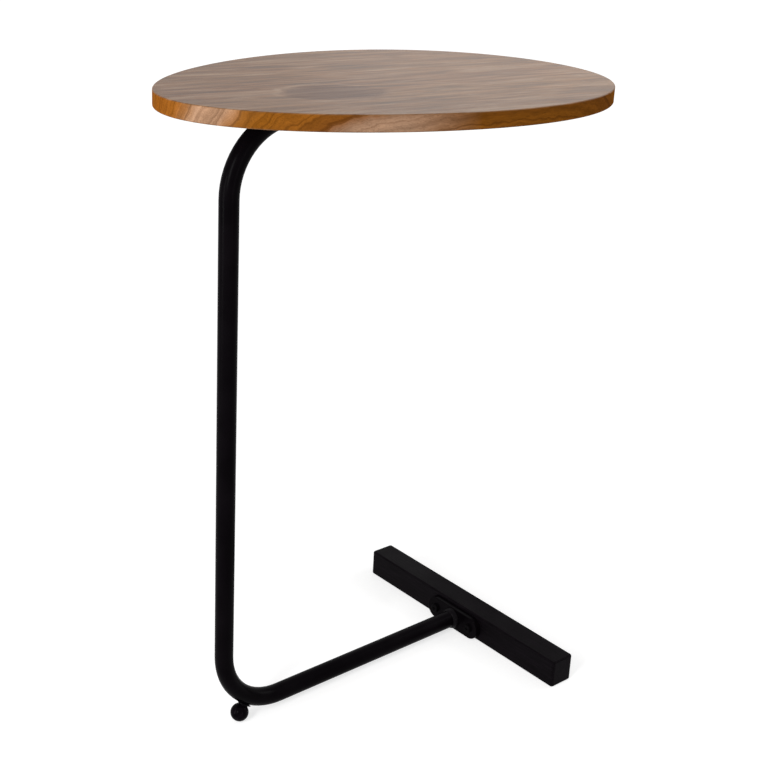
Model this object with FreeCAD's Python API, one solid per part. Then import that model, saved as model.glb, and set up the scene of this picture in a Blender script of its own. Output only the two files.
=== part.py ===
import FreeCAD, Part

import math
import os

# A C shaped side table: an egg shaped wooden top on one bent steel tube, with a wooden floor bar.
# Millimetres. +Z is up, the floor is z = 0, and +X runs from the post to the floor bar.
# The origin is on the floor, under the middle of the top's length and width.

# overall
table_height = 650.0
post_to_middle = 174.0            # the post's axis to the middle of the top's length

# wooden top
top_length = 470.0                # along X
top_width = 358.0                 # along Y, across the middle of the length
top_thickness = 15.0
top_narrowing = 0.16              # 0 is an oval, more draws the post end in and widens the other
top_edge_round = 1.0
outline_points = 36

# bent tube
tube_diameter = 19.0
tube_wall = 1.5
bend_radius = 70.0                # centreline, the same at both bends
top_run_length = 290.0            # post axis to the open end under the top

# floor bar
bar_distance = 330.0              # post axis to the face that the flange sits on
bar_length = 300.0
bar_depth = 30.0
bar_rise = 7.5                    # the bar's top above the top of the lower run
bar_corner_round = 3.0
bar_edge_round = 2.0

# flange between the tube and the floor bar, with fully round ends
flange_length = 80.0
flange_thickness = 7.0
flange_edge_round = 0.8           # round its outer face
flange_floor_gap = 1.0
flange_hole_inset = 13.0          # each hole's centre to the flange's nearer end
flange_weld_leg = 3.0
flange_margin = 0.5               # left above and below the weld
flange_screw_cover = 7.0          # wood left past each screw's tip

# tabs that hold the top
tab_length = 28.0                 # along X
tab_reach = 24.5                  # the tube's side to the tab's outer edge
tab_thickness = 3.0
tab_corner_round = 4.0
tab_inset = 35.0                  # upper bend, and open end, to the middle of the nearest pair
tab_hole_inset = 10.0             # the hole's centre to the tab's outer edge
tab_weld_leg = 3.0
tab_weld_inset = 4.0              # each end of the bead to the tab's end
tab_screw_cover = 5.0             # wood left above each screw's tip

# countersunk wood screws through the tabs
tab_screw_diameter = 4.0
tab_screw_head_diameter = 8.0
tab_screw_head_height = 2.4
tab_screw_tip_length = 4.0

# pan head wood screws through the flange
flange_screw_diameter = 5.0
flange_screw_head_diameter = 10.0
flange_screw_head_height = 3.0
flange_screw_head_round = 1.0
flange_screw_tip_length = 5.0

# every screw's cross slot and hole
screw_slot_width = 1.0
screw_slot_length = 4.4
screw_slot_depth = 1.4
screw_clearance = 0.25            # radial, in metal
pilot_clearance = 0.05            # radial, in wood
pilot_extra_depth = 1.0

# ball foot under the lower bend
ball_diameter = 19.0
ball_neck_diameter = 10.0
ball_neck_length = 0.5            # the tube's surface to the ball
ball_weld_radius = 1.2

# plug in the tube's open end
plug_head_length = 2.5
plug_head_round = 1.0
plug_stem_length = 16.0
plug_clearance = 0.1              # radial, in the tube's bore

# worked out from the sizes above
post_x = -post_to_middle
tube_radius = tube_diameter / 2
bore_radius = tube_radius - tube_wall
top_underside = table_height - top_thickness
top_run_height = top_underside - tube_radius
top_run_end_x = post_x + top_run_length
flange_height = 2 * (tube_radius + flange_weld_leg + flange_margin)
base_tube_height = flange_floor_gap + flange_height / 2
lower_bend_x = post_x + bend_radius
lower_bend_height = base_tube_height + bend_radius
bar_height = base_tube_height + tube_radius + bar_rise
bar_face_x = post_x + bar_distance
flange_face_x = bar_face_x - flange_thickness
flange_screw_length = flange_thickness + bar_depth - flange_screw_cover
tab_inner_edge = math.sqrt(tube_radius ** 2 - (tube_radius - tab_thickness) ** 2)
tab_outer_edge = tube_radius + tab_reach
tab_centres = [lower_bend_x + tab_inset, top_run_end_x - tab_inset]
tab_screw_length = tab_thickness + top_thickness - tab_screw_cover
tab_hole_radius = tab_screw_diameter / 2 + screw_clearance
countersink_radius = tab_screw_head_diameter / 2 + screw_clearance
flange_hole_radius = flange_screw_diameter / 2 + screw_clearance
ball_distance = bend_radius + tube_radius + ball_neck_length + ball_diameter / 2
ball_angle = math.acos((lower_bend_height - ball_diameter / 2) / ball_distance)

x_axis = FreeCAD.Vector(1, 0, 0)
y_axis = FreeCAD.Vector(0, 1, 0)
z_axis = FreeCAD.Vector(0, 0, 1)


def point(x, y, z):
    return FreeCAD.Vector(x, y, z)


def tube_path():
    """Centreline from the flange, through both bends, to the open end under the top."""
    cos45 = math.cos(math.radians(45))
    lower = point(lower_bend_x, 0, lower_bend_height)
    upper = point(lower_bend_x, 0, top_run_height - bend_radius)
    start = point(flange_face_x, 0, base_tube_height)
    lower_start = lower - z_axis * bend_radius
    lower_middle = lower + point(-cos45, 0, -cos45) * bend_radius
    lower_end = lower - x_axis * bend_radius
    upper_start = upper - x_axis * bend_radius
    upper_middle = upper + point(-cos45, 0, cos45) * bend_radius
    upper_end = upper + z_axis * bend_radius
    end = point(top_run_end_x, 0, top_run_height)
    return Part.Wire([
        Part.LineSegment(start, lower_start).toShape(),
        Part.Arc(lower_start, lower_middle, lower_end).toShape(),
        Part.LineSegment(lower_end, upper_start).toShape(),
        Part.Arc(upper_start, upper_middle, upper_end).toShape(),
        Part.LineSegment(upper_end, end).toShape(),
    ])


def rod_along_path(radius):
    """Solid rod of the given radius along the tube's centreline."""
    circle = Part.Circle(point(flange_face_x, 0, base_tube_height), x_axis, radius)
    section = Part.Wire([circle.toShape()])
    return tube_path().makePipeShell([section], True, True)


def wood_screw(head, head_height, diameter, shank_length, tip_length, head_centre, direction):
    """Screw with a cross slot: its head's outer face is at head_centre and it points along direction."""
    shank = Part.makeCylinder(diameter / 2, shank_length, z_axis * head_height)
    tip = Part.makeCone(diameter / 2, 0, tip_length, z_axis * (head_height + shank_length))
    body = head.fuse([shank, tip]).removeSplitter()
    for width, depth in ((screw_slot_length, screw_slot_width), (screw_slot_width, screw_slot_length)):
        body = body.cut(Part.makeBox(width, depth, screw_slot_depth, point(-width / 2, -depth / 2, 0)))
    body.Placement = FreeCAD.Placement(head_centre, FreeCAD.Rotation(z_axis, direction))
    return body


def tab_screw(head_centre):
    """Countersunk screw, up through a tab into the top."""
    head_radius, shank_radius = tab_screw_head_diameter / 2, tab_screw_diameter / 2
    head = Part.makeCone(head_radius, shank_radius, tab_screw_head_height)
    shank_length = tab_screw_length - tab_screw_head_height - tab_screw_tip_length
    return wood_screw(head, tab_screw_head_height, tab_screw_diameter, shank_length,
                      tab_screw_tip_length, head_centre, z_axis)


def flange_screw(seat_centre):
    """Pan head screw, its head seated on the flange's outer face."""
    head = Part.makeCylinder(flange_screw_head_diameter / 2, flange_screw_head_height)
    rim = [e for e in head.Edges if e.BoundBox.ZMax < flange_screw_head_height / 2]
    head = head.makeFillet(flange_screw_head_round, rim)
    return wood_screw(head, flange_screw_head_height, flange_screw_diameter,
                      flange_screw_length - flange_screw_tip_length, flange_screw_tip_length,
                      seat_centre - x_axis * flange_screw_head_height, x_axis)


def tab_screw_hole(face_centre):
    """Cutter for a countersunk clearance hole up through a tab."""
    past = 1.0
    bore = Part.makeCylinder(tab_hole_radius, tab_thickness + 2 * past, z_axis * -past)
    sink = Part.makeCone(countersink_radius, tab_hole_radius, tab_screw_head_height)
    mouth = Part.makeCylinder(countersink_radius, past, z_axis * -past)
    cutter = bore.fuse([sink, mouth])
    cutter.translate(face_centre)
    return cutter


def pilot_hole(diameter, depth, mouth_centre, direction):
    """Cutter for a blind screw hole in wood."""
    return Part.makeCylinder(diameter / 2 + pilot_clearance, depth, mouth_centre, direction)


def tab_screw_centres():
    """Middle of each screw head, on the underside of its tab."""
    hole_y = tab_outer_edge - tab_hole_inset
    height = top_underside - tab_thickness
    return [point(x, side * hole_y, height) for x in tab_centres for side in (1, -1)]


def flange_screw_centres():
    """Middle of each screw hole, on the flange's outer face."""
    hole_y = flange_length / 2 - flange_hole_inset
    return [point(flange_face_x, side * hole_y, base_tube_height) for side in (1, -1)]


def tabletop():
    """Egg shaped slab, narrower over the post, with blind holes for the tab screws."""
    points = []
    for step in range(outline_points):
        angle = 2 * math.pi * step / outline_points
        x = top_length / 2 * math.cos(angle)
        y = top_width / 2 * math.sin(angle) * (1 + top_narrowing * math.cos(angle))
        points.append(point(x, y, top_underside))
    outline = Part.BSplineCurve()
    outline.interpolate(Points=points, PeriodicFlag=True)
    slab = Part.Face(Part.Wire([outline.toShape()])).extrude(z_axis * top_thickness)
    rims = [e for e in slab.Edges if e.BoundBox.ZLength < top_thickness / 2]
    slab = slab.makeFillet(top_edge_round, rims)
    depth = top_thickness - tab_screw_cover + pilot_extra_depth
    for centre in tab_screw_centres():
        slab = slab.cut(pilot_hole(tab_screw_diameter, depth, centre + z_axis * tab_thickness, z_axis))
    return slab


def tube_frame():
    """One tube, bent twice, open at both ends."""
    return rod_along_path(tube_radius).cut(rod_along_path(bore_radius))


def tube_end_plug():
    """Plug with a rounded head that closes the tube's end under the top."""
    start = point(top_run_end_x, 0, top_run_height)
    head = Part.makeCylinder(tube_radius, plug_head_length, start, x_axis)
    rim = [e for e in head.Edges if e.BoundBox.XMin > top_run_end_x + plug_head_length / 2]
    head = head.makeFillet(plug_head_round, rim)
    stem_start = start - x_axis * plug_stem_length
    stem = Part.makeCylinder(bore_radius - plug_clearance, plug_stem_length, stem_start, x_axis)
    return head.fuse(stem)


def mounting_tab(hole_centre, side):
    """Sheet metal tab, level with the top of the tube, with one countersunk hole."""
    width = tab_outer_edge - tab_inner_edge
    near_y = min(side * tab_inner_edge, side * tab_outer_edge)
    corner = point(hole_centre.x - tab_length / 2, near_y, hole_centre.z)
    body = Part.makeBox(tab_length, width, tab_thickness, corner)
    uprights = [e for e in body.Edges if e.BoundBox.ZLength > tab_thickness / 2]
    body = body.makeFillet(tab_corner_round, uprights)
    return body.cut(tab_screw_hole(hole_centre))


def tab_welds():
    """Bead under the inner edge of each tab, against the tube's side."""
    seam_height = top_underside - tab_thickness
    low_height = seam_height - tab_weld_leg
    low_y = math.sqrt(tube_radius ** 2 - (low_height - top_run_height) ** 2)
    bulge = tab_weld_leg / 6
    tube = Part.makeCylinder(tube_radius, top_run_length, point(post_x, 0, top_run_height), x_axis)
    length = tab_length - 2 * tab_weld_inset
    beads = []
    for x in tab_centres:
        for side in (1, -1):
            start = x - length / 2
            seam = point(start, side * tab_inner_edge, seam_height)
            outer = point(start, side * (tab_inner_edge + tab_weld_leg), seam_height)
            low = point(start, side * low_y, low_height)
            crown = (outer + low) / 2 + point(0, side * bulge, -bulge)
            section = Part.Wire([
                Part.LineSegment(seam, outer).toShape(),
                Part.Arc(outer, crown, low).toShape(),
                Part.LineSegment(low, seam).toShape(),
            ])
            beads.append(Part.Face(section).extrude(x_axis * length).cut(tube))
    return Part.makeCompound(beads)


def base_flange():
    """Upright plate with round ends on the floor bar's face that the tube's lower end is welded to."""
    centre = point(flange_face_x, 0, base_tube_height)
    up = z_axis * (flange_height / 2)
    along = y_axis * (flange_length / 2 - flange_height / 2)
    tip = y_axis * (flange_length / 2)
    outline = Part.Wire([
        Part.LineSegment(centre - along + up, centre + along + up).toShape(),
        Part.Arc(centre + along + up, centre + tip, centre + along - up).toShape(),
        Part.LineSegment(centre + along - up, centre - along - up).toShape(),
        Part.Arc(centre - along - up, centre - tip, centre - along + up).toShape(),
    ])
    body = Part.Face(outline).extrude(x_axis * flange_thickness)
    outer_edges = [e for e in body.Edges if e.BoundBox.XMax < flange_face_x + flange_thickness / 2]
    body = body.makeFillet(flange_edge_round, outer_edges)
    for hole_centre in flange_screw_centres():
        body = body.cut(Part.makeCylinder(flange_hole_radius, flange_thickness, hole_centre, x_axis))
    return body


def flange_weld():
    """Fillet weld all round the tube's end, on the flange."""
    seam = point(flange_face_x, 0, base_tube_height + tube_radius)
    outer = seam + z_axis * flange_weld_leg
    along = seam - x_axis * flange_weld_leg
    bulge = flange_weld_leg / 6
    crown = (outer + along) / 2 + point(-bulge, 0, bulge)
    section = Part.Wire([
        Part.LineSegment(seam, outer).toShape(),
        Part.Arc(outer, crown, along).toShape(),
        Part.LineSegment(along, seam).toShape(),
    ])
    return Part.Face(section).revolve(point(flange_face_x, 0, base_tube_height), x_axis, 360)


def base_bar():
    """Wooden bar on the floor, with eased edges and blind holes for the flange screws."""
    corner = point(bar_face_x, -bar_length / 2, 0)
    body = Part.makeBox(bar_depth, bar_length, bar_height, corner)
    uprights = [e for e in body.Edges if e.BoundBox.ZLength > bar_height / 2]
    body = body.makeFillet(bar_corner_round, uprights)
    rims = [e for e in body.Edges if e.BoundBox.ZLength < bar_height / 2]
    body = body.makeFillet(bar_edge_round, rims)
    depth = bar_depth - flange_screw_cover + pilot_extra_depth
    for centre in flange_screw_centres():
        mouth = centre + x_axis * flange_thickness
        body = body.cut(pilot_hole(flange_screw_diameter, depth, mouth, x_axis))
    return body


def ball_foot():
    """Ball that stands on the floor, on a short neck square to the lower bend."""
    bend_centre = point(lower_bend_x, 0, lower_bend_height)
    downwards = point(-math.sin(ball_angle), 0, -math.cos(ball_angle))
    ball = Part.makeSphere(ball_diameter / 2, bend_centre + downwards * ball_distance)
    neck_start = bend_centre + downwards * bend_radius
    neck = Part.makeCylinder(ball_neck_diameter / 2, ball_distance - bend_radius, neck_start, downwards)
    return ball.fuse(neck).cut(rod_along_path(tube_radius))


def ball_weld():
    """Small bead round the ball's neck, against the tube."""
    downwards = point(-math.sin(ball_angle), 0, -math.cos(ball_angle))
    seam = point(lower_bend_x, 0, lower_bend_height) + downwards * (bend_radius + tube_radius)
    ring = Part.makeTorus(ball_neck_diameter / 2, ball_weld_radius, seam, downwards)
    return ring.cut(rod_along_path(tube_radius)).cut(ball_foot())


def write_part(name, shape):
    shape.exportStep("parts/" + name + ".step")
    print(name, len(shape.Solids), "solids, valid", shape.isValid(), round(shape.Volume), "mm3")


def main():
    os.makedirs("parts", exist_ok=True)
    tab_holes = tab_screw_centres()
    tab_screws = [tab_screw(centre) for centre in tab_holes]
    flange_screws = [flange_screw(centre) for centre in flange_screw_centres()]
    write_part("tabletop", tabletop())
    write_part("tube_frame", tube_frame())
    write_part("tube_end_plug", tube_end_plug())
    places = ("post_left", "post_right", "bar_left", "bar_right")
    for place, side, centre in zip(places, (1, -1, 1, -1), tab_holes):
        write_part("mounting_tab_" + place, mounting_tab(centre, side))
    write_part("tab_welds", tab_welds())
    write_part("tab_screws", Part.makeCompound(tab_screws))
    write_part("base_flange", base_flange())
    write_part("flange_weld", flange_weld())
    write_part("flange_screws", Part.makeCompound(flange_screws))
    write_part("base_bar", base_bar())
    write_part("ball_foot", ball_foot())
    write_part("ball_weld", ball_weld())


main()
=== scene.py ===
import math
import random

import bmesh
import bpy
from mathutils import Matrix, Vector, noise


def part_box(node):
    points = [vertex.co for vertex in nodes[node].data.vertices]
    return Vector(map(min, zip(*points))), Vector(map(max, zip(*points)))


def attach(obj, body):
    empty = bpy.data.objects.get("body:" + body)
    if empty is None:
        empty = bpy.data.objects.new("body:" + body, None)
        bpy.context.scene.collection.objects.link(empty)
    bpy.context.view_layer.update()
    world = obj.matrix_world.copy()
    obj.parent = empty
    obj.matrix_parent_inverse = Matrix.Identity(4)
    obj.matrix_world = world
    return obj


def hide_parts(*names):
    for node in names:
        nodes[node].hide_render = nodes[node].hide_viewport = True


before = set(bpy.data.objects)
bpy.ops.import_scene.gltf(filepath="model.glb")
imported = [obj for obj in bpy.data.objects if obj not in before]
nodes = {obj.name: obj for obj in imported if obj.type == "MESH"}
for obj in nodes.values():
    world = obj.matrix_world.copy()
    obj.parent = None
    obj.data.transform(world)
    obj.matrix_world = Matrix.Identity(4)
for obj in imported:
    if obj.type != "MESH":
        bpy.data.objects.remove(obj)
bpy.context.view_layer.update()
sceneData = bpy.context.scene
print("frame loaded,", len(nodes), "nodes")

noiseSpan = (0.3, 0.7)        # where most values of a noise texture lie


def linear(hexColour):        # sRGB hex to linear RGBA
    channels = [int(hexColour[i:i + 2], 16) / 255 for i in (1, 3, 5)]
    return [c / 12.92 if c <= 0.04045 else ((c + 0.055) / 1.055) ** 2.4 for c in channels] + [1.0]


def perMetre(millimetres):    # a texture's scale from a real size
    return 1000 / millimetres


def addNode(tree, kind, settings=None, links=None):
    node = tree.nodes.new("ShaderNode" + kind)
    for key, value in (settings or {}).items():
        if isinstance(key, str) and hasattr(node, key):
            setattr(node, key, value)
        else:
            node.inputs[key].default_value = value
    for key, source in (links or {}).items():
        tree.links.new(source, node.inputs[key])
    return node


def newMaterial(name):
    material = bpy.data.materials.new(name)
    material.use_nodes = True
    material.node_tree.nodes.clear()
    return material, material.node_tree


def setStops(ramp, stops):    # each stop is a place and a hex colour or a grey level
    elements = ramp.color_ramp.elements
    while len(elements) < len(stops):
        elements.new(1.0)
    for element, (place, colour) in zip(elements, stops):
        element.position = place
        element.color = linear(colour) if isinstance(colour, str) else [colour] * 3 + [1.0]
    return ramp


def finishMaterial(tree, shader):
    output = addNode(tree, "OutputMaterial")
    tree.links.new(shader.outputs[0], output.inputs["Surface"])


def varied(tree, pattern, stops, span, roughness):    # colour and roughness that change together
    colour = setStops(addNode(tree, "ValToRGB", None, {"Fac": pattern}), stops)
    rough = addNode(tree, "MapRange", {"From Min": span[0], "From Max": span[1],
                                       "To Min": roughness[0], "To Max": roughness[1]},
                    {"Value": pattern})
    return colour.outputs[0], rough.outputs[0]


def finishCoat(tree, settings, relief, colour, rough, height):
    bump = addNode(tree, "Bump", {"Strength": relief[0], "Distance": relief[1]}, {"Height": height})
    finishMaterial(tree, addNode(tree, "BsdfPrincipled", settings, {
        "Base Color": colour, "Roughness": rough, "Normal": bump.outputs[0]}))


def makeMesh(name, vertices, faces, material, body="root"):
    mesh = bpy.data.meshes.new(name)
    mesh.from_pydata([tuple(v) for v in vertices], [], faces)
    mesh.validate()
    work = bmesh.new()
    work.from_mesh(mesh)
    bmesh.ops.recalc_face_normals(work, faces=work.faces)
    work.to_mesh(mesh)
    work.free()
    mesh.polygons.foreach_set("use_smooth", [True] * len(mesh.polygons))
    mesh.materials.append(material)
    piece = bpy.data.objects.new(name, mesh)
    sceneData.collection.objects.link(piece)
    if body:
        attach(piece, body)
    return piece


view = {
    "position": (-0.832449, -0.9407365, 0.842643),    # m
    "yaw": 0.9091,            # radians from +X
    "pitch": 0.3392,          # radians downwards
    "roll": 0.028,            # radians
    "lens": 62.074,           # mm
    "sensor": 36,             # mm
    "shift": (0.12064, -0.07448),
    "clip": (0.05, 50),       # m
}


def makeCamera(v):
    forward = Vector((math.cos(v["pitch"]) * math.cos(v["yaw"]),
                      math.cos(v["pitch"]) * math.sin(v["yaw"]), -math.sin(v["pitch"])))
    level = Vector((math.sin(v["yaw"]), -math.cos(v["yaw"]), 0))
    up = level.cross(forward)
    right = level * math.cos(v["roll"]) + up * math.sin(v["roll"])
    up = right.cross(forward)
    data = bpy.data.cameras.new("camera")
    data.lens = v["lens"]
    data.sensor_width = v["sensor"]
    data.shift_x, data.shift_y = v["shift"]
    data.clip_start, data.clip_end = v["clip"]
    camera = bpy.data.objects.new("camera", data)
    turn = Matrix((right, up, -forward)).transposed().to_4x4()
    camera.matrix_world = Matrix.Translation(v["position"]) @ turn
    sceneData.collection.objects.link(camera)
    sceneData.camera = camera


makeCamera(view)
sceneData.view_settings.view_transform = "Standard"
print("camera placed")


room = {
    "white": "#ffffff",
    "ambient": 0.42,           # what the room gives matt surfaces
    "floorReach": 40.0,        # m, to each side
    "floorDrop": 0.0003,       # m under the bar
    "floorColour": "#c4c4c4",
    "lift": (0.66, 0.86),      # light added where the floor is seen, near the table and far off
    "liftReach": (0.8, 3.5),   # m from the table, where near ends and far begins
}
lamps = [                      # name, position, aims at, width and height in m, watts
    ("leftBox", (-1.85, -0.66, 1.22), (-0.10, 0, 0.45), 0.40, 1.0, 24.5),
    ("backBox", (-1.74, 0.22, 0.50), (-0.10, 0, 0.40), 0.28, 1.0, 9.5),
    ("frontBox", (0.0, -2.1, 0.60), (0, 0, 0.40), 0.20, 1.1, 3.6),
    ("rightBox", (1.9, -0.6, 1.2), (0, 0, 0.5), 0.8, 1.0, 10),
    ("farBox", (1.6, 1.3, 1.3), (0.1, 0, 0.5), 1.0, 0.8, 1.3),
]


def whiteWhereSeen(tree):
    paths = addNode(tree, "LightPath")
    either = addNode(tree, "Math", {"operation": "MAXIMUM"},
                     {0: paths.outputs["Is Camera Ray"], 1: paths.outputs["Is Glossy Ray"]})
    return addNode(tree, "Math", {"operation": "MAXIMUM"},
                   {0: either.outputs[0], 1: paths.outputs["Is Transmission Ray"]})


def makeRoom(r):
    world = bpy.data.worlds.new("room")
    world.use_nodes = True
    tree = world.node_tree
    tree.nodes.clear()
    seen = whiteWhereSeen(tree)
    strength = addNode(tree, "Math", {"operation": "MULTIPLY_ADD", 1: 1 - r["ambient"], 2: r["ambient"]},
                       {0: seen.outputs[0]})
    light = addNode(tree, "Background", {"Color": linear(r["white"])}, {"Strength": strength.outputs[0]})
    output = addNode(tree, "OutputWorld")
    tree.links.new(light.outputs[0], output.inputs["Surface"])
    sceneData.world = world


# White studio paper: matt, lifted to white where it is seen and still dark enough for a soft shadow.
def makeFloor(r):
    material, tree = newMaterial("studioPaper")
    seen = whiteWhereSeen(tree)
    place = addNode(tree, "NewGeometry").outputs["Position"]
    away = addNode(tree, "VectorMath", {"operation": "LENGTH"}, {0: place})
    level = addNode(tree, "MapRange", {"From Min": r["liftReach"][0], "From Max": r["liftReach"][1],
                                       "To Min": r["lift"][0], "To Max": r["lift"][1]},
                    {"Value": away.outputs["Value"]})
    lift = addNode(tree, "Math", {"operation": "MULTIPLY"}, {0: seen.outputs[0], 1: level.outputs[0]})
    matt = addNode(tree, "BsdfDiffuse", {"Color": linear(r["floorColour"])})
    glow = addNode(tree, "Emission", {"Color": linear(r["white"])}, {"Strength": lift.outputs[0]})
    finishMaterial(tree, addNode(tree, "AddShader", None, {0: matt.outputs[0], 1: glow.outputs[0]}))
    far, low = r["floorReach"], -r["floorDrop"]
    sheet = [(-far, -far, low), (far, -far, low), (far, far, low), (-far, far, low)]
    floor = makeMesh("studioFloor", sheet, [(0, 1, 2, 3)], material, None)


def makeLamp(name, position, target, width, height, watts):
    data = bpy.data.lights.new(name, "AREA")
    data.shape = "RECTANGLE"
    data.size, data.size_y = width, height
    data.energy = watts
    lamp = bpy.data.objects.new(name, data)
    aim = Vector(target) - Vector(position)
    turn = aim.to_track_quat("-Z", "Y").to_matrix().to_4x4()
    lamp.matrix_world = Matrix.Translation(position) @ turn
    lamp.visible_camera = False
    sceneData.collection.objects.link(lamp)


makeRoom(room)
makeFloor(room)
for lamp in lamps:
    makeLamp(*lamp)
print("room and lamps ready")


topWood = {
    "grainTurn": 8.0,                 # degrees, the grain against the top's length
    # The rings, in the cut across the grain.
    "pith": (-0.212, 0.563),          # m, across the grain and up: the line that the rings turn round
    "ringSpan": (0.085, 0.405),       # m from the pith, the slab's nearest and farthest rings
    "wanderLength": 120,              # mm, a slow drift of the rings
    "wanderStretch": 0.35,            # along the grain it is slower by this
    "ringWander": 0.016,              # m, how far they drift
    "curlLength": 16,                 # mm, small waves in the rings
    "curl": 0.009,                    # m
    # Their colours, each from its share of that span.
    "bands": [(0.00, "#855017"), (0.07, "#7a481b"), (0.10, "#8d551b"), (0.15, "#875116"),
              (0.20, "#98622c"), (0.27, "#9c6834"), (0.33, "#985c20"), (0.42, "#92551a"),
              (0.60, "#a0672e"), (0.80, "#8e5620"), (1.00, "#9a6228")],
    "tint": (11, {"Detail": 3.0, "Roughness": 0.6}),     # mm across, lighter and darker groups of rings
    "tintShade": (0.86, 1.10),        # darkest and lightest
    "line": (3.2, {"Detail": 3.0, "Roughness": 0.65}),   # mm across, one year's growth
    "lineColour": "#4e2a0c",
    "lineShare": [(0.30, 0.75), (0.42, 0.30), (0.62, 0.0)],
    "lineStrength": (0.72, 0.42),     # on the rim's end grain and on the flat faces
    # The flat faces, cut along the rings, so that these blend into one tone.
    "flatColour": "#96693b",
    "flatBlend": 0.58,
    "flatSpan": (-0.22, 0.22),        # m along the grain, from the post's end to the other
    "flatPaintedLight": (0.58, 1.24),        # painted light: how light they are at these two ends, painted shade at the post's end and painted light at the other
    # Painted glare: a pale reflection painted on the rim near the post, laid along the rings, with its share
    # in each ring.
    "paintedGlareColour": "#ad896e",
    "paintedGlareRings": [(0.0, 0.85), (0.012, 1.0), (0.048, 0.9), (0.068, 0.0), (0.183, 0.0), (0.212, 0.8),
                  (0.270, 0.9), (0.300, 0.2), (0.340, 0.0)],
    "paintedGlareSpan": (-0.080, -0.014),     # m along the grain, where it fades out
    "paintedGlareOnFlat": 0.15,               # what the flat faces show of it
    # Patterns drawn out along the grain: mm along it, mm across it, and the noise.
    "figure": (62, 8, {"Detail": 5.0, "Roughness": 0.66, "Distortion": 0.35}),    # streaky patches
    "cloud": (120, 17, {"Detail": 2.0, "Distortion": 0.8}),    # broader ones that lie over them
    "fibre": (22, 1.0, {"Detail": 2.0, "Roughness": 0.6}),     # 4 times as coarse as real fibres
    "pore": (7, 0.7, {"Detail": 0.0}),                         # 3 times as coarse as real pores
    "figureShade": (0.92, 1.07),      # darkest and lightest, on the flat faces
    "rimFigureShade": (0.98, 1.26),   # and on the rim
    "cloudShade": (0.94, 1.06),
    "figureRelief": (1.0, 0.0004),    # strength and m, the lacquer sinks a little over them
    "rayColour": "#c9b096",           # rays cut lengthways, which catch the light
    "figureRays": [(0.50, 0.0), (0.70, 0.32)],
    "cloudRays": [(0.50, 0.0), (0.68, 0.26)],
    "troughColour": "#3a2c20",        # the open grain between them
    "figureTroughs": [(0.32, 0.46), (0.50, 0.0)],
    "cloudTroughs": [(0.34, 0.42), (0.50, 0.0)],
    "fibreTone": [(0.30, 0.80), (0.70, 1.0)],
    "poreColour": "#3c2008",
    "poreShare": [(0.66, 0.0), (0.76, 0.28)],
    "darkStreaks": [(0.0138, -0.217, 0.085), (0.085, -0.093, 0.0)],   # m across the grain, from, to
    "streakWidth": 0.0011,            # m
    "streakWander": 0.02,             # m, how far they drift
    # The knot.
    "knotMiddle": (-0.083, -0.047, 0.650),    # m along the grain, across it and up
    "knotSize": (0.047, 0.040, 0.045),
    "knotPull": 0.85,                 # how far the rings bend round it
    "knotRagged": (0.9, 0.2),         # how the drift and the small waves of the rings fray its edge
    "knotColour": "#4a2e26",
    "knotShare": [(0.38, 0.0), (0.50, 0.48), (0.85, 0.60)],
    "knotDull": 0.60,                 # how far its resin dulls the lacquer
    "haloSide": (-0.5, 1.2, 0.0),     # pale wood rims it on this side
    "haloShare": [(0.28, 0.0), (0.34, 0.13), (0.37, 0.13), (0.42, 0.0)],
    # The surface, on the sanded rim and on the flat faces, which have a full coat of lacquer.
    "roughness": (0.58, 0.36),
    "fibreRough": 0.10,               # what the fibres add
    "level": (0.0, 0.205),
    "grainRelief": (0.2, 0.0002),     # strength and m
}


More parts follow.
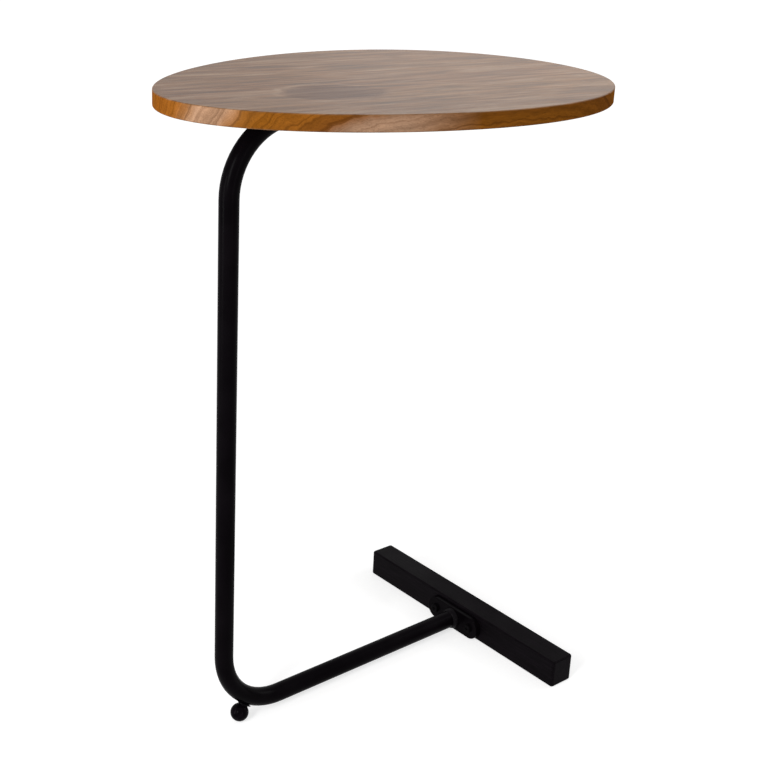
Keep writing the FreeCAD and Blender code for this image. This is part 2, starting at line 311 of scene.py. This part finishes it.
# Where the rings lie: their distance from the pith, with the drift, the small waves and the bend
# round the knot.
def woodRings(tree, place, w):
    slow = addNode(tree, "Mapping", {"Scale": (w["wanderStretch"], 1.0, 1.0)}, {"Vector": place})
    wander = addNode(tree, "TexNoise",
                     {"Scale": perMetre(w["wanderLength"]), "Detail": 3.0, "Roughness": 0.45},
                     {"Vector": slow.outputs[0]})
    toPith = addNode(tree, "Mapping",
                     {"Location": (0, -w["pith"][0], -w["pith"][1]), "Scale": (0.0, 1.0, 1.0)},
                     {"Vector": place})
    radius = addNode(tree, "VectorMath", {"operation": "LENGTH"}, {0: toPith.outputs[0]})
    drift = addNode(tree, "Math", {"operation": "SUBTRACT", 1: 0.5}, {0: wander.outputs["Fac"]})
    wandered = addNode(tree, "Math", {"operation": "MULTIPLY_ADD", 1: w["ringWander"]},
                       {0: drift.outputs[0], 2: radius.outputs["Value"]})
    curls = addNode(tree, "TexNoise", {"Scale": perMetre(w["curlLength"]), "Detail": 2.0},
                    {"Vector": place})
    curl = addNode(tree, "Math", {"operation": "SUBTRACT", 1: 0.5}, {0: curls.outputs["Fac"]})
    drifted = addNode(tree, "Math", {"operation": "MULTIPLY_ADD", 1: w["curl"]},
                      {0: curl.outputs[0], 2: wandered.outputs[0]})

    fromKnot = addNode(tree, "VectorMath", {"operation": "SUBTRACT", 1: w["knotMiddle"]}, {0: place})
    inKnots = addNode(tree, "VectorMath", {"operation": "DIVIDE", 1: w["knotSize"]},
                      {0: fromKnot.outputs[0]})
    squared = addNode(tree, "VectorMath", {"operation": "DOT_PRODUCT"},
                      {0: inKnots.outputs[0], 1: inKnots.outputs[0]})
    negative = addNode(tree, "Math", {"operation": "MULTIPLY", 1: -1.0}, {0: squared.outputs["Value"]})
    nearKnot = addNode(tree, "Math", {"operation": "EXPONENT"}, {0: negative.outputs[0]})
    knotRing = math.hypot(w["knotMiddle"][1] - w["pith"][0], w["knotMiddle"][2] - w["pith"][1])
    aside = addNode(tree, "Math", {"operation": "SUBTRACT", 1: knotRing}, {0: drifted.outputs[0]})
    bent = addNode(tree, "Math", {"operation": "MULTIPLY"}, {0: aside.outputs[0], 1: nearKnot.outputs[0]})
    ring = addNode(tree, "Math", {"operation": "MULTIPLY_ADD", 1: -w["knotPull"]},
                   {0: bent.outputs[0], 2: drifted.outputs[0]})

    knotEdge = nearKnot
    for amount, fray in zip(w["knotRagged"], (drift, curl)):
        knotEdge = addNode(tree, "Math", {"operation": "MULTIPLY_ADD", 1: amount},
                           {0: fray.outputs[0], 2: knotEdge.outputs[0]})
    return {"ring": ring.outputs[0], "drift": drift.outputs[0], "inKnots": inKnots.outputs[0],
            "knotEdge": knotEdge.outputs[0]}


def woodPatterns(tree, place, ring, w):
    patterns = {}
    for name in ("tint", "line"):                    # these follow the rings
        width, look = w[name]
        counted = addNode(tree, "Math", {"operation": "MULTIPLY", 1: perMetre(width)}, {0: ring})
        pattern = addNode(tree, "TexNoise", {"noise_dimensions": "1D", "Scale": 1.0, **look},
                          {"W": counted.outputs[0]})
        patterns[name] = pattern.outputs["Fac"]
    for name in ("figure", "cloud", "fibre", "pore"):    # and these the grain
        length, width, look = w[name]
        size = (perMetre(length), perMetre(width), perMetre(width))
        drawn = addNode(tree, "Mapping", {"Scale": size}, {"Vector": place})
        pattern = addNode(tree, "TexNoise", {"Scale": 1.0, **look}, {"Vector": drawn.outputs[0]})
        patterns[name] = pattern.outputs["Fac"]
    return patterns


# Brown hardwood under a satin clear lacquer: warm bands and fine dark lines that run through the whole
# slab, so the rim shows them end on, with a soft sheen that pales the top where it is seen flat.
# The rim's open end grain drinks the lacquer, so it stays duller and deeper in colour.
def satinLacqueredHardwood(w):
    material, tree = newMaterial("satinLacqueredHardwood")
    own = addNode(tree, "TexCoord").outputs["Object"]
    turn = (0, 0, math.radians(w["grainTurn"]))
    place = addNode(tree, "Mapping", {"Rotation": turn}, {"Vector": own}).outputs[0]
    along = addNode(tree, "SeparateXYZ", None, {"Vector": place})
    normal = addNode(tree, "NewGeometry").outputs["Normal"]
    facing = addNode(tree, "SeparateXYZ", None, {"Vector": normal})
    flat = addNode(tree, "Math", {"operation": "ABSOLUTE"}, {0: facing.outputs["Z"]}).outputs[0]
    rings = woodRings(tree, place, w)
    patterns = woodPatterns(tree, place, rings["ring"], w)
    shares = {}
    for name, source in (("figureRays", "figure"), ("figureTroughs", "figure"), ("cloudRays", "cloud"),
                         ("cloudTroughs", "cloud"), ("lineShare", "line"), ("fibreTone", "fibre"),
                         ("poreShare", "pore")):
        ramp = addNode(tree, "ValToRGB", None, {"Fac": patterns[source]})
        shares[name] = setStops(ramp, w[name]).outputs[0]
    for name in ("knotShare", "haloShare"):
        ramp = addNode(tree, "ValToRGB", None, {"Fac": rings["knotEdge"]})
        shares[name] = setStops(ramp, w[name]).outputs[0]

    share = addNode(tree, "MapRange", {"From Min": w["ringSpan"][0], "From Max": w["ringSpan"][1]},
                    {"Value": rings["ring"]})
    banded = setStops(addNode(tree, "ValToRGB", None, {"Fac": share.outputs[0]}), w["bands"])
    # Painted light and shade: the flat faces are darkened towards the post's end and lightened towards the
    # other, as the light falls across the top.
    paintedLightFall = addNode(tree, "MapRange", {"From Min": w["flatSpan"][0], "From Max": w["flatSpan"][1],
                                       "To Min": w["flatPaintedLight"][0], "To Max": w["flatPaintedLight"][1]},
                    {"Value": along.outputs["X"]})
    flatTone = addNode(tree, "VectorMath", {"operation": "SCALE", 0: linear(w["flatColour"])[:3]},
                       {"Scale": paintedLightFall.outputs[0]})
    blend = addNode(tree, "Math", {"operation": "MULTIPLY", 1: w["flatBlend"]}, {0: flat})
    toned = addNode(tree, "Mix", {"data_type": "RGBA"},
                    {"Factor": blend.outputs[0], "A": banded.outputs[0], "B": flatTone.outputs[0]})

    # Painted glare on the rim near the post: pale colour where the reflection falls, following the rings and
    # fading out along the grain.
    paintedGlareRing = setStops(addNode(tree, "ValToRGB", None, {"Fac": share.outputs[0]}), w["paintedGlareRings"])
    paintedGlareLength = addNode(tree, "MapRange", {"From Min": w["paintedGlareSpan"][0], "From Max": w["paintedGlareSpan"][1],
                                            "To Min": 1.0, "To Max": 0.0}, {"Value": along.outputs["X"]})
    rimOnly = addNode(tree, "MapRange", {"To Min": 1.0, "To Max": w["paintedGlareOnFlat"]}, {"Value": flat})
    paintedGlareHere = addNode(tree, "Math", {"operation": "MULTIPLY"},
                       {0: paintedGlareRing.outputs[0], 1: paintedGlareLength.outputs[0]})
    paintedGlareShare = addNode(tree, "Math", {"operation": "MULTIPLY"},
                        {0: paintedGlareHere.outputs[0], 1: rimOnly.outputs[0]})
    withPaintedGlare = addNode(tree, "Mix", {"data_type": "RGBA", "B": linear(w["paintedGlareColour"])},
                    {"Factor": paintedGlareShare.outputs[0], "A": toned.outputs["Result"]})

    shades = {}
    for name, source in (("tint", "tint"), ("figure", "figure"), ("rimFigure", "figure"), ("cloud", "cloud")):
        low, high = w[name + "Shade"]
        shades[name] = addNode(tree, "MapRange", {"From Min": noiseSpan[0], "From Max": noiseSpan[1],
                                                  "To Min": low, "To Max": high},
                               {"Value": patterns[source]}).outputs[0]
    clouded = addNode(tree, "Math", {"operation": "MULTIPLY"}, {0: shades["figure"], 1: shades["cloud"]})
    patched = addNode(tree, "Mix", {"data_type": "FLOAT"},
                      {0: flat, 2: shades["rimFigure"], 3: clouded.outputs[0]})
    shading = addNode(tree, "Math", {"operation": "MULTIPLY"}, {0: shades["tint"], 1: patched.outputs[0]})
    tone = addNode(tree, "VectorMath", {"operation": "SCALE"},
                   {0: withPaintedGlare.outputs["Result"], "Scale": shading.outputs[0]}).outputs[0]

    # Rays, troughs and growth lines, then the fibres, then all that lies across them.
    lineStrength = addNode(tree, "MapRange", {"To Min": w["lineStrength"][0],
                                              "To Max": w["lineStrength"][1]}, {"Value": flat})
    for name, colour, where in (("figureRays", "rayColour", flat), ("figureTroughs", "troughColour", flat),
                                ("cloudRays", "rayColour", flat), ("cloudTroughs", "troughColour", flat),
                                ("lineShare", "lineColour", lineStrength.outputs[0])):
        here = addNode(tree, "Math", {"operation": "MULTIPLY"}, {0: shares[name], 1: where})
        tone = addNode(tree, "Mix", {"data_type": "RGBA", "B": linear(w[colour])},
                       {"Factor": here.outputs[0], "A": tone}).outputs["Result"]
    tone = addNode(tree, "Mix", {"data_type": "RGBA", "blend_type": "MULTIPLY", "Factor": 1.0},
                   {"A": tone, "B": shares["fibreTone"]}).outputs["Result"]

    layers = [(shares["poreShare"], "poreColour")]
    for across, start, end in w["darkStreaks"]:
        aside = addNode(tree, "Math", {"operation": "MULTIPLY_ADD", 1: w["streakWander"], 2: -across},
                        {0: rings["drift"]})
        offLine = addNode(tree, "Math", {"operation": "ADD"}, {0: along.outputs["Y"], 1: aside.outputs[0]})
        near = addNode(tree, "Math", {"operation": "COMPARE", 1: 0.0, 2: w["streakWidth"]},
                       {0: offLine.outputs[0]})
        within = addNode(tree, "Math", {"operation": "COMPARE", 1: (start + end) / 2, 2: (end - start) / 2},
                         {0: along.outputs["X"]})
        both = addNode(tree, "Math", {"operation": "MULTIPLY"}, {0: near.outputs[0], 1: within.outputs[0]})
        broken = addNode(tree, "Math", {"operation": "MULTIPLY"}, {0: both.outputs[0], 1: patterns["figure"]})
        layers.append((broken.outputs[0], "lineColour"))
    layers.append((shares["knotShare"], "knotColour"))
    side = addNode(tree, "VectorMath", {"operation": "DOT_PRODUCT", 1: w["haloSide"]}, {0: rings["inKnots"]})
    halo = addNode(tree, "Math", {"operation": "MULTIPLY", "use_clamp": True},
                   {0: shares["haloShare"], 1: side.outputs["Value"]})
    layers.append((halo.outputs[0], "rayColour"))
    for here, colour in layers:
        tone = addNode(tree, "Mix", {"data_type": "RGBA", "B": linear(w[colour])},
                       {"Factor": here, "A": tone}).outputs["Result"]

    rough = addNode(tree, "MapRange", {"To Min": w["roughness"][0], "To Max": w["roughness"][1]},
                    {"Value": flat})
    fibreRough = addNode(tree, "Math", {"operation": "MULTIPLY_ADD", 1: w["fibreRough"]},
                         {0: patterns["fibre"], 2: rough.outputs[0]})
    coat = addNode(tree, "MapRange", {"To Min": w["level"][0], "To Max": w["level"][1]}, {"Value": flat})
    shine = addNode(tree, "Math", {"operation": "MULTIPLY_ADD", 1: -w["knotDull"], 2: 1.0},
                    {0: shares["knotShare"]})
    level = addNode(tree, "Math", {"operation": "MULTIPLY"}, {0: coat.outputs[0], 1: shine.outputs[0]})
    relief = addNode(tree, "Math", {"operation": "SUBTRACT"},
                     {0: patterns["fibre"], 1: shares["poreShare"]})
    grainBump = addNode(tree, "Bump", {"Strength": w["grainRelief"][0], "Distance": w["grainRelief"][1]},
                        {"Height": relief.outputs[0]})
    bump = addNode(tree, "Bump", {"Strength": w["figureRelief"][0], "Distance": w["figureRelief"][1]},
                   {"Height": patterns["figure"], "Normal": grainBump.outputs[0]})
    finishMaterial(tree, addNode(tree, "BsdfPrincipled", {"IOR": 1.5, "Specular IOR Level": w["level"][1]}, {
        "Base Color": tone, "Roughness": fibreRough.outputs[0], "Specular IOR Level": level.outputs[0],
        "Normal": bump.outputs[0]}))
    return material


powderCoat = {
    "stops": [(0.35, "#060406"), (0.70, "#0b080b")],    # full coat, and where hands have rubbed it
    "cloud": 35,                 # mm, the rubbed areas
    "peel": 1.3,                 # mm, pebbles in the coat
    "relief": (0.18, 0.0001),    # strength and m
    "roughness": (0.24, 0.32),
    "level": 0.013,              # low, because the room round it is pure white
}
# Over the weld beads the coat's colour is lighter: a painted highlight.
paintedHighlightWeldCoat = dict(powderCoat, stops=[(0.35, "#0b090b"), (0.70, "#161316")], peel=2.4,
                roughness=(0.20, 0.34), level=0.03)


# Semi gloss black powder coat, baked on: near black with a soft, slightly pebbled shine.
# Over a weld its colour is painted lighter, a painted highlight on the ripples, and it shines more.
def blackPowderCoat(name, p):
    material, tree = newMaterial(name)
    place = addNode(tree, "TexCoord").outputs["Object"]
    peel = addNode(tree, "TexNoise", {"Scale": perMetre(p["peel"]), "Detail": 1.0}, {"Vector": place})
    cloud = addNode(tree, "TexNoise", {"Scale": perMetre(p["cloud"]), "Detail": 3.0}, {"Vector": place})
    colour, rough = varied(tree, cloud.outputs["Fac"], p["stops"], noiseSpan, p["roughness"])
    finishCoat(tree, {"IOR": 1.5, "Specular IOR Level": p["level"]}, p["relief"], colour, rough,
               peel.outputs["Fac"])
    return material


enamel = {
    "stops": [(0.40, "#060406"), (0.75, "#120d12")],    # darker and lighter, in small patches
    "cloud": 4,                  # mm, the lighter and darker patches
    "relief": (0.08, 0.0001),    # strength and m
    "roughness": (0.10, 0.20),
    "level": 0.014,
}


# Gloss black enamel, dipped: deep black with a small sharp highlight.
def glossBlackEnamel(e):
    material, tree = newMaterial("glossBlackEnamel")
    place = addNode(tree, "TexCoord").outputs["Object"]
    cloud = addNode(tree, "TexNoise", {"Scale": perMetre(e["cloud"]), "Detail": 2.0}, {"Vector": place})
    colour, rough = varied(tree, cloud.outputs["Fac"], e["stops"], noiseSpan, e["roughness"])
    finishCoat(tree, {"IOR": 1.5, "Specular IOR Level": e["level"]}, e["relief"], colour, rough,
               cloud.outputs["Fac"])
    return material


stain = {
    "stops": [(0.40, "#080608"), (0.70, "#120e12")],    # deep in the grain, and on its ridges
    "grainWidth": 1.6,           # mm, one year's growth
    "grainLength": 45,           # mm
    "waveLength": 60,            # mm, how the grain sways
    "wave": (0.010, 0.0, 0.010),    # m, and how far
    "relief": (0.5, 0.0003),     # strength and m
    "grainShine": 0.5,           # what the grain does to the shine, against the waves
    "shineSpan": (0.5, 1.0),     # the two added up
    "roughness": (0.34, 0.62),
    "level": 0.018,
}


# Softwood under black stain and a satin lacquer: the grain shows only as faint ridges in the shine.
def blackStainedWood(s):
    material, tree = newMaterial("blackStainedWood")
    place = addNode(tree, "TexCoord").outputs["Object"]
    waves = addNode(tree, "TexNoise", {"Scale": perMetre(s["waveLength"]), "Detail": 2.0}, {"Vector": place})
    swayed = addNode(tree, "VectorMath", {"operation": "MULTIPLY_ADD", 1: s["wave"]},
                     {0: waves.outputs["Color"], 2: place})
    size = (perMetre(s["grainWidth"]), perMetre(s["grainLength"]), perMetre(s["grainWidth"]))
    drawn = addNode(tree, "Mapping", {"Scale": size}, {"Vector": swayed.outputs[0]})
    grain = addNode(tree, "TexNoise", {"Scale": 1.0, "Detail": 3.0, "Roughness": 0.6},
                    {"Vector": drawn.outputs[0]})
    colour = setStops(addNode(tree, "ValToRGB", None, {"Fac": grain.outputs["Fac"]}), s["stops"])
    uneven = addNode(tree, "Math", {"operation": "MULTIPLY_ADD", 1: s["grainShine"]},
                     {0: grain.outputs["Fac"], 2: waves.outputs["Fac"]})
    rough = addNode(tree, "MapRange", {"From Min": s["shineSpan"][0], "From Max": s["shineSpan"][1],
                                       "To Min": s["roughness"][0], "To Max": s["roughness"][1]},
                    {"Value": uneven.outputs[0]})
    finishCoat(tree, {"IOR": 1.5, "Specular IOR Level": s["level"]}, s["relief"], colour.outputs[0],
               rough.outputs[0], grain.outputs["Fac"])
    return material


plugPlastic = {
    "stops": [(0.40, "#0f0f10"), (0.70, "#171718")],    # in the grit, and on it
    "grit": 0.7,                 # mm, drawn 4 times as coarse as it is
    "relief": (0.35, 0.0001),    # strength and m
    "roughness": (0.50, 0.62),
    "level": 0.3,
}


# Polyethylene moulded in a spark eroded tool: matt black with a fine even grit.
def mouldedPolyethylene(p):
    material, tree = newMaterial("mouldedPolyethylene")
    place = addNode(tree, "TexCoord").outputs["Object"]
    grit = addNode(tree, "TexNoise", {"Scale": perMetre(p["grit"]), "Detail": 2.0}, {"Vector": place})
    colour, rough = varied(tree, grit.outputs["Fac"], p["stops"], (0.0, 1.0), p["roughness"])
    finishCoat(tree, {"IOR": 1.5, "Specular IOR Level": p["level"]}, p["relief"], colour, rough,
               grit.outputs["Fac"])
    return material


zinc = {
    "stops": [(0.35, "#a3a19b"), (0.60, "#d2d0c8")],    # dull, and bright
    "blotch": 1.8,               # mm, crystals and stains of the plating
    "relief": (0.2, 0.0001),     # strength and m
    "roughness": (0.42, 0.24),   # where it is dull, and bright
    "metallic": 1.0,
    "level": 0.5,
}
phosphate = dict(zinc, stops=[(0.35, "#070607"), (0.60, "#0e0c0e")], blotch=1.2,
                 roughness=(0.68, 0.52), metallic=0.1, level=0.012)


# Cold formed steel screws, bright zinc plated: silvery, a little uneven from the plating bath.
# The same screws phosphated: near black, dry and grainy.
def platedSteel(name, p):
    material, tree = newMaterial(name)
    place = addNode(tree, "TexCoord").outputs["Object"]
    blotch = addNode(tree, "TexNoise", {"Scale": perMetre(p["blotch"]), "Detail": 3.0}, {"Vector": place})
    colour, rough = varied(tree, blotch.outputs["Fac"], p["stops"], noiseSpan, p["roughness"])
    finishCoat(tree, {"Metallic": p["metallic"], "Specular IOR Level": p["level"]}, p["relief"], colour,
               rough, blotch.outputs["Fac"])
    return material


finishes = {
    "top_wood": satinLacqueredHardwood(topWood),
    "black_steel": blackPowderCoat("blackPowderCoat", powderCoat),
    "weld": blackPowderCoat("blackPowderCoatOnWeldWithPaintedHighlight", paintedHighlightWeldCoat),
    "ball_steel": glossBlackEnamel(enamel),
    "bar_wood": blackStainedWood(stain),
    "plug_plastic": mouldedPolyethylene(plugPlastic),
    "tab_screw_steel": platedSteel("brightZincPlatedSteel", zinc),
    "flange_screw_steel": platedSteel("blackPhosphatedSteel", phosphate),
}
nodeSlots = {
    "tabletop": "top_wood",
    "tube_frame": "black_steel",
    "mounting_tab_post_left": "black_steel",
    "mounting_tab_post_right": "black_steel",
    "mounting_tab_bar_left": "black_steel",
    "mounting_tab_bar_right": "black_steel",
    "base_flange": "black_steel",
    "tube_end_plug": "plug_plastic",
    "tab_screws": "tab_screw_steel",
    "flange_screws": "flange_screw_steel",
    "base_bar": "bar_wood",
    "ball_foot": "ball_steel",
}
for name, slotName in nodeSlots.items():
    for slot in nodes[name].material_slots:
        slot.material = finishes[slotName]
print("finishes on", len(nodeSlots), "nodes that keep their own shape")


# Weld beads: overlapping ripples in place of each smooth fillet.
weld = {
    "rippleStep": 0.0023,      # m between two ripples
    "rippleHeight": 0.00045,   # m
    "rippleSpread": (0.5, 1.3),    # the lowest and the highest, as a share of that
    "rippleBow": 0.45,         # how far a ripple bows forward in the middle of the bead
    "leastRipples": 4,
    "profilePoints": 9,        # across the bead
    "stepsPerRipple": 7,       # along it
    "crown": 0.16,             # how far the bead stands proud of a flat fillet, as a share of its leg
    "root": 0.1,               # how deep its inner corner is set, as a share of its leg
    "unevenness": 0.16,        # how much its leg shrinks in places, as a share of it
    "lumpLength": 0.006,       # m from one such place to the next
    "lumpRange": 50,           # where in the noise a bead starts
    "flangeSeed": 3,
    "flangeReach": 2.3,        # how much further the flange's bead runs up the tube than out on the flange
    "tabSeed": 10,
    "ballSeed": 21,
    "ballLeg": 0.0018,         # m
    "ballSpread": 1.6,         # how much wider the ball's bead is along the tube than down the neck
    "ballSeam": 1.5,           # its length against the neck's edge
    "bendRadius": 0.070,       # m, the tube's centreline at the lower bend
    "neckRadius": 0.005,       # m, the ball's neck
}


def weldBead(seam, length, closed, seed, w):
    lumps = random.Random(seed)
    ripples = max(w["leastRipples"], round(length / w["rippleStep"]))
    steps = ripples * w["stepsPerRipple"]
    heights = [lumps.uniform(*w["rippleSpread"]) * w["rippleHeight"] for _ in range(ripples)]
    offset = Vector([lumps.uniform(0, w["lumpRange"]) for _ in range(3)])
    stations = steps if closed else steps + 1
    points = w["profilePoints"]
    ringSize = points + 1
    vertices, faces = [], []
    for i in range(stations):
        share = i / steps
        corner, alongA, alongB, leg = seam(share)
        outward = (alongA + alongB).normalized()
        leg *= 1 - w["unevenness"] * (0.5 + 0.5 * noise.noise(offset + corner / w["lumpLength"]))
        for j in range(points):
            t = j / (points - 1)
            crescent = 4 * t * (1 - t)
            phase = share * ripples + w["rippleBow"] * crescent
            ripple = heights[int(phase) % ripples] * math.sqrt(abs(math.sin(math.pi * phase)))
            rise = (leg * w["crown"] + ripple) * crescent
            vertices.append(corner + alongA * leg * (1 - t) + alongB * leg * t + outward * rise)
        vertices.append(corner - outward * leg * w["root"])
    for i in range(stations if closed else stations - 1):
        here, there = i * ringSize, ((i + 1) % stations) * ringSize
        for j in range(ringSize):
            k = (j + 1) % ringSize
            faces.append((here + j, here + k, there + k, there + j))
    if not closed:
        faces += [tuple(range(ringSize)), tuple(range((stations - 1) * ringSize, stations * ringSize))]
    return vertices, faces


# A seam gives, for a share of its length, the bead's inner corner, the directions of its two legs
# and their length.
def ringSeam(centre, radius, axis, leg, spread, reach, dropAt):
    across = axis.orthogonal().normalized()
    side = axis.cross(across)

    def seam(share):
        angle = 2 * math.pi * share
        radial = across * math.cos(angle) + side * math.sin(angle)
        corner = centre + radial * radius
        return corner - axis * dropAt(corner), radial * spread, axis * reach, leg
    return seam


def tabSeam(tabLow, tabHigh, inset, leg, tubeRadius, tubeHeight):
    side = 1 if tabLow.y > 0 else -1
    inner = min(abs(tabLow.y), abs(tabHigh.y))
    length = tabHigh.x - tabLow.x - 2 * inset
    lowY = math.sqrt(tubeRadius ** 2 - (tabLow.z - leg - tubeHeight) ** 2)
    downTube = Vector((0, side * (lowY - inner) / leg, -1))

    def seam(share):
        corner = Vector((tabLow.x + inset + share * length, side * inner, tabLow.z))
        return corner, Vector((0, side, 0)), downTube, leg
    return seam, length


def beadPiece(name, node, beads):
    vertices, faces = [], []
    for beadVertices, beadFaces in beads:
        first = len(vertices)
        vertices += beadVertices
        faces += [tuple(first + k for k in face) for face in beadFaces]
    piece = makeMesh(name, vertices, faces, finishes["weld"])
    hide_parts(node)


def corners(node):
    return [Vector(c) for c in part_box(node)]


def makeWelds(w):
    low, high = corners("flange_weld")
    leg = high.x - low.x
    tubeRadius = (high.y - low.y) / 2 - leg
    centre = Vector((high.x, 0, (low.z + high.z) / 2))
    seam = ringSeam(centre, tubeRadius, Vector((-1, 0, 0)), leg, 1.0, w["flangeReach"], lambda corner: 0.0)
    length = 2 * math.pi * (tubeRadius + leg)
    beadPiece("flangeWeldBead", "flange_weld", [weldBead(seam, length, True, w["flangeSeed"], w)])

    tubeLow, tubeHigh = corners("tube_frame")
    weldLow, weldHigh = corners("tab_welds")
    inset = weldLow.x - corners("mounting_tab_post_left")[0].x
    beads = []
    for i, place in enumerate(("post_left", "post_right", "bar_left", "bar_right")):
        tabLow, tabHigh = corners("mounting_tab_" + place)
        seam, length = tabSeam(tabLow, tabHigh, inset, weldHigh.z - weldLow.z, tubeRadius,
                               tubeHigh.z - tubeRadius)
        beads.append(weldBead(seam, length, False, w["tabSeed"] + i, w))
    beadPiece("tabWeldBeads", "tab_welds", beads)

    ballLow, ballHigh = corners("ball_foot")
    ballRadius = (ballHigh.y - ballLow.y) / 2
    ballCentre = Vector((ballLow.x + ballRadius, 0, ballLow.z + ballRadius))
    bend = w["bendRadius"] + tubeRadius
    bendCentre = Vector((tubeLow.x + bend, 0, tubeLow.z + bend))
    downwards = (ballCentre - bendCentre).normalized()
    seam = ringSeam(bendCentre + downwards * bend, w["neckRadius"], downwards, w["ballLeg"],
                    w["ballSpread"], 1.0,
                    lambda corner: tubeRadius - math.sqrt(tubeRadius ** 2 - corner.y ** 2))
    length = 2 * math.pi * w["neckRadius"] * w["ballSeam"]
    beadPiece("ballWeldBead", "ball_weld", [weldBead(seam, length, True, w["ballSeed"], w)])


makeWelds(weld)
print("weld beads made")

print("scene done")
